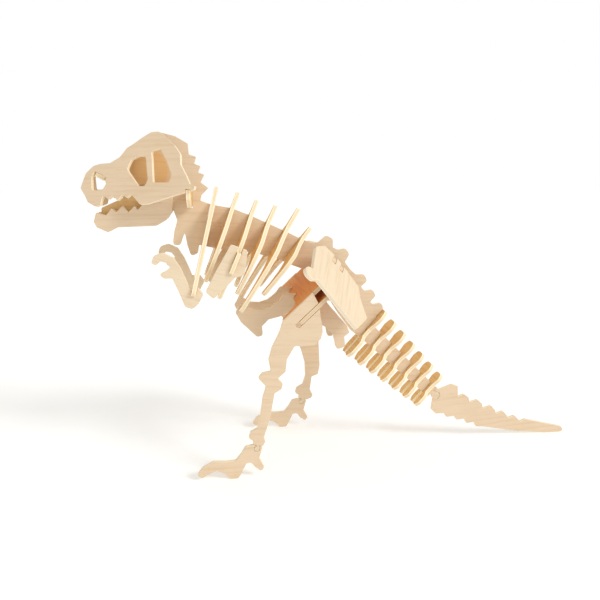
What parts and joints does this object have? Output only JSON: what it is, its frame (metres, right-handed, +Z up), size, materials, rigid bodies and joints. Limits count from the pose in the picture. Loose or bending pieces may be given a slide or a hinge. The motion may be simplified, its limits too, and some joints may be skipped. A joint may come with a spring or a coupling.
{
  "type": "wooden 3d jigsaw model",
  "caption": "Slot-together plywood skeleton of a two-legged dinosaur with hooped ribs, a notched tail and a roofed hip, standing on its feet and tail tip",
  "frame": {"origin": "centre of the model's footprint, on the surface it stands on", "axes": "X from the snout (-X) to the tail tip (+X), Y across the model, Z up"},
  "size_m": [0.3823, 0.1092, 0.2454],
  "materials": {
    "ply_side": "bare sanded plywood",
    "ply_pale": "bare sanded plywood, lighter sheet",
    "ply_cross": "bare sanded plywood, warmer sheet"
  },
  "bodies": {
    "skeleton": {"backbone": "ply_side", "tail_tip": "ply_side", "skull_left": "ply_side", "skull_right": "ply_side", "jaw_left": "ply_side", "jaw_right": "ply_side", "jaw_middle": "ply_side", "snout_bridge": "ply_cross", "cheek_bridge": "ply_cross", "jaw_bridge_front": "ply_cross", "jaw_bridge_rear": "ply_cross", "hip_front": "ply_cross", "hip_rear": "ply_cross", "hip_roof_left": "ply_pale", "hip_roof_right": "ply_pale", "pubis_left": "ply_side", "pubis_right": "ply_side", "ischium_left": "ply_side", "ischium_right": "ply_side", "leg_left": "ply_side", "leg_right": "ply_side", "foot_left": "ply_side", "foot_right": "ply_side"},
    "rib_1_set": {"rib_1": "ply_cross", "arm_left": "ply_pale", "arm_right": "ply_pale"},
    "rib_2_piece": {"rib_2": "ply_cross"},
    "rib_3_set": {"rib_3": "ply_cross", "shoulder_left": "ply_pale", "shoulder_right": "ply_pale"},
    "rib_4_piece": {"rib_4": "ply_cross"},
    "rib_5_piece": {"rib_5": "ply_cross"},
    "rib_6_piece": {"rib_6": "ply_cross"},
    "tail_disc_1_piece": {"tail_disc_1": "ply_cross"},
    "tail_disc_2_piece": {"tail_disc_2": "ply_cross"},
    "tail_disc_3_piece": {"tail_disc_3": "ply_cross"},
    "tail_disc_4_piece": {"tail_disc_4": "ply_cross"},
    "tail_disc_5_piece": {"tail_disc_5": "ply_cross"},
    "tail_disc_6_piece": {"tail_disc_6": "ply_cross"},
    "tail_disc_7_piece": {"tail_disc_7": "ply_cross"}
  },
  "joints": [
    {"name": "rib_1_lift", "type": "slide", "parent": "skeleton", "child": "rib_1_set", "axis": [0.2419, 0, 0.9703], "range_m": [0, 0.02]},
    {"name": "rib_2_lift", "type": "slide", "parent": "skeleton", "child": "rib_2_piece", "axis": [0.3746, 0, 0.9272], "range_m": [0, 0.02]},
    {"name": "rib_3_lift", "type": "slide", "parent": "skeleton", "child": "rib_3_set", "axis": [0.3907, 0, 0.9205], "range_m": [0, 0.02]},
    {"name": "rib_4_lift", "type": "slide", "parent": "skeleton", "child": "rib_4_piece", "axis": [0.4384, 0, 0.8988], "range_m": [0, 0.02]},
    {"name": "rib_5_lift", "type": "slide", "parent": "skeleton", "child": "rib_5_piece", "axis": [0.5299, 0, 0.848], "range_m": [0, 0.02]},
    {"name": "rib_6_lift", "type": "slide", "parent": "skeleton", "child": "rib_6_piece", "axis": [0.6293, 0, 0.7771], "range_m": [0, 0.02]},
    {"name": "tail_disc_1_lift", "type": "slide", "parent": "skeleton", "child": "tail_disc_1_piece", "axis": [0.6691, 0, 0.7431], "range_m": [0, 0.012]},
    {"name": "tail_disc_2_lift", "type": "slide", "parent": "skeleton", "child": "tail_disc_2_piece", "axis": [0.6691, 0, 0.7431], "range_m": [0, 0.012]},
    {"name": "tail_disc_3_lift", "type": "slide", "parent": "skeleton", "child": "tail_disc_3_piece", "axis": [0.6691, 0, 0.7431], "range_m": [0, 0.012]},
    {"name": "tail_disc_4_lift", "type": "slide", "parent": "skeleton", "child": "tail_disc_4_piece", "axis": [0.6691, 0, 0.7431], "range_m": [0, 0.012]},
    {"name": "tail_disc_5_lift", "type": "slide", "parent": "skeleton", "child": "tail_disc_5_piece", "axis": [0.6691, 0, 0.7431], "range_m": [0, 0.012]},
    {"name": "tail_disc_6_lift", "type": "slide", "parent": "skeleton", "child": "tail_disc_6_piece", "axis": [0.6691, 0, 0.7431], "range_m": [0, 0.012]},
    {"name": "tail_disc_7_lift", "type": "slide", "parent": "skeleton", "child": "tail_disc_7_piece", "axis": [0.6691, 0, 0.7431], "range_m": [0, 0.012]}
  ]
}
